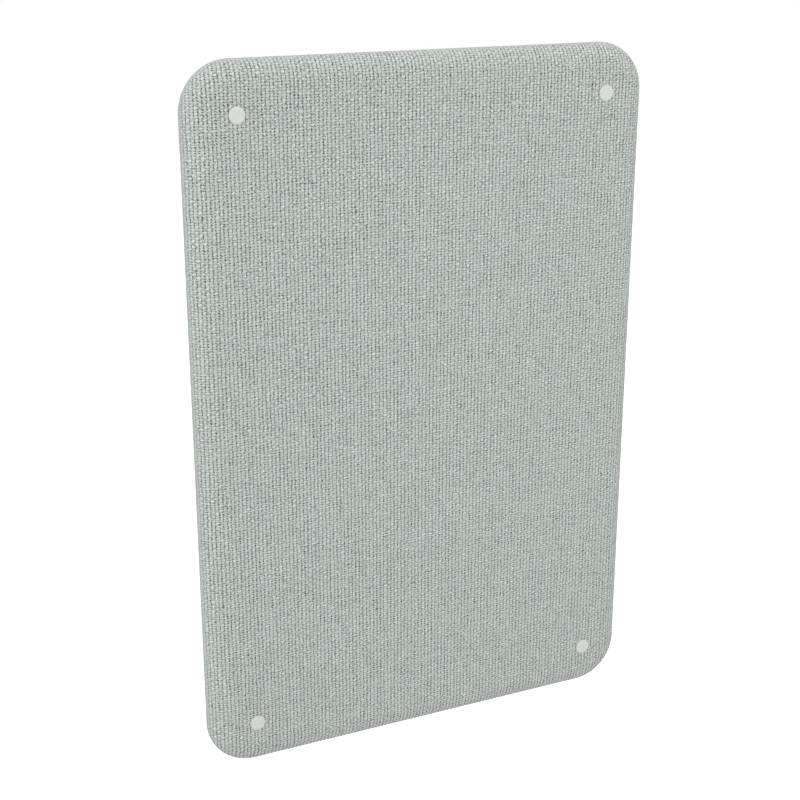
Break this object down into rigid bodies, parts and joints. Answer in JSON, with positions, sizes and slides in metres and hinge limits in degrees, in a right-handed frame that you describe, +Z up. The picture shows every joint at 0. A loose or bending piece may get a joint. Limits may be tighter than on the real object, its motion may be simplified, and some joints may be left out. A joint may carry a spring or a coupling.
{
  "type": "acoustic divider screen panel",
  "caption": "Portrait fabric covered sound absorbing screen panel with soft rounded edges, fixed through its corners by captive bolts under round press-in caps.",
  "frame": {"origin": "middle of the four-bolt pattern, on the plane of the rear spacers' seats", "axes": "+X to the right as seen from the front, +Z up along the panel's height, +Y out of the rear, so the front faces -Y"},
  "size_m": [0.8, 0.0774, 1.176],
  "materials": {
    "cover_fabric": "coarse basket weave, matt",
    "wadding": "matt",
    "foam": "matt",
    "felt": "matt",
    "core_wool": "matt",
    "pine": "planed",
    "plywood": "sanded",
    "beech": "fluted",
    "zinc_steel": "bright zinc plated",
    "bolt_steel": "zinc plated",
    "ring_steel": "phosphated",
    "spacer_nylon": "moulded",
    "cap_plastic": "moulded, satin"
  },
  "bodies": {
    "panel": {"front_cover": "cover_fabric", "rear_cover": "cover_fabric", "front_wadding": "wadding", "rear_wadding": "wadding", "edge_foam": "foam", "front_felt": "felt", "rear_felt": "felt", "upper_core": "core_wool", "lower_core": "core_wool", "top_rail": "pine", "bottom_rail": "pine", "left_stile": "pine", "right_stile": "pine", "cross_rail": "pine", "frame_dowels": "beech", "front_staples": "zinc_steel", "rear_staples": "zinc_steel", "corner_block_tl": "plywood", "sleeve_tl": "zinc_steel", "spacer_tl": "spacer_nylon", "corner_block_tr": "plywood", "sleeve_tr": "zinc_steel", "spacer_tr": "spacer_nylon", "corner_block_bl": "plywood", "sleeve_bl": "zinc_steel", "spacer_bl": "spacer_nylon", "corner_block_br": "plywood", "sleeve_br": "zinc_steel", "spacer_br": "spacer_nylon"},
    "ring_tl": {"retaining_ring_tl": "ring_steel"},
    "bolt_tl": {"bolt_tl": "bolt_steel"},
    "cap_tl": {"cap_tl": "cap_plastic"},
    "ring_tr": {"retaining_ring_tr": "ring_steel"},
    "bolt_tr": {"bolt_tr": "bolt_steel"},
    "cap_tr": {"cap_tr": "cap_plastic"},
    "ring_bl": {"retaining_ring_bl": "ring_steel"},
    "bolt_bl": {"bolt_bl": "bolt_steel"},
    "cap_bl": {"cap_bl": "cap_plastic"},
    "ring_br": {"retaining_ring_br": "ring_steel"},
    "bolt_br": {"bolt_br": "bolt_steel"},
    "cap_br": {"cap_br": "cap_plastic"}
  },
  "joints": [
    {"name": "bolt_slide_tl", "type": "slide", "parent": "panel", "child": "ring_tl", "axis": [0, -1, 0], "range_m": [0, 0.017]},
    {"name": "bolt_turn_tl", "type": "hinge", "parent": "ring_tl", "child": "bolt_tl", "pos_m": [-0.32, 0, 0.508], "axis": [0, -1, 0], "continuous": true},
    {"name": "cap_pull_tl", "type": "slide", "parent": "panel", "child": "cap_tl", "axis": [0, -1, 0], "range_m": [0, 0.04]},
    {"name": "bolt_slide_tr", "type": "slide", "parent": "panel", "child": "ring_tr", "axis": [0, -1, 0], "range_m": [0, 0.017]},
    {"name": "bolt_turn_tr", "type": "hinge", "parent": "ring_tr", "child": "bolt_tr", "pos_m": [0.32, 0, 0.508], "axis": [0, -1, 0], "continuous": true},
    {"name": "cap_pull_tr", "type": "slide", "parent": "panel", "child": "cap_tr", "axis": [0, -1, 0], "range_m": [0, 0.04]},
    {"name": "bolt_slide_bl", "type": "slide", "parent": "panel", "child": "ring_bl", "axis": [0, -1, 0], "range_m": [0, 0.017]},
    {"name": "bolt_turn_bl", "type": "hinge", "parent": "ring_bl", "child": "bolt_bl", "pos_m": [-0.32, 0, -0.508], "axis": [0, -1, 0], "continuous": true},
    {"name": "cap_pull_bl", "type": "slide", "parent": "panel", "child": "cap_bl", "axis": [0, -1, 0], "range_m": [0, 0.04]},
    {"name": "bolt_slide_br", "type": "slide", "parent": "panel", "child": "ring_br", "axis": [0, -1, 0], "range_m": [0, 0.017]},
    {"name": "bolt_turn_br", "type": "hinge", "parent": "ring_br", "child": "bolt_br", "pos_m": [0.32, 0, -0.508], "axis": [0, -1, 0], "continuous": true},
    {"name": "cap_pull_br", "type": "slide", "parent": "panel", "child": "cap_br", "axis": [0, -1, 0], "range_m": [0, 0.04]}
  ]
}
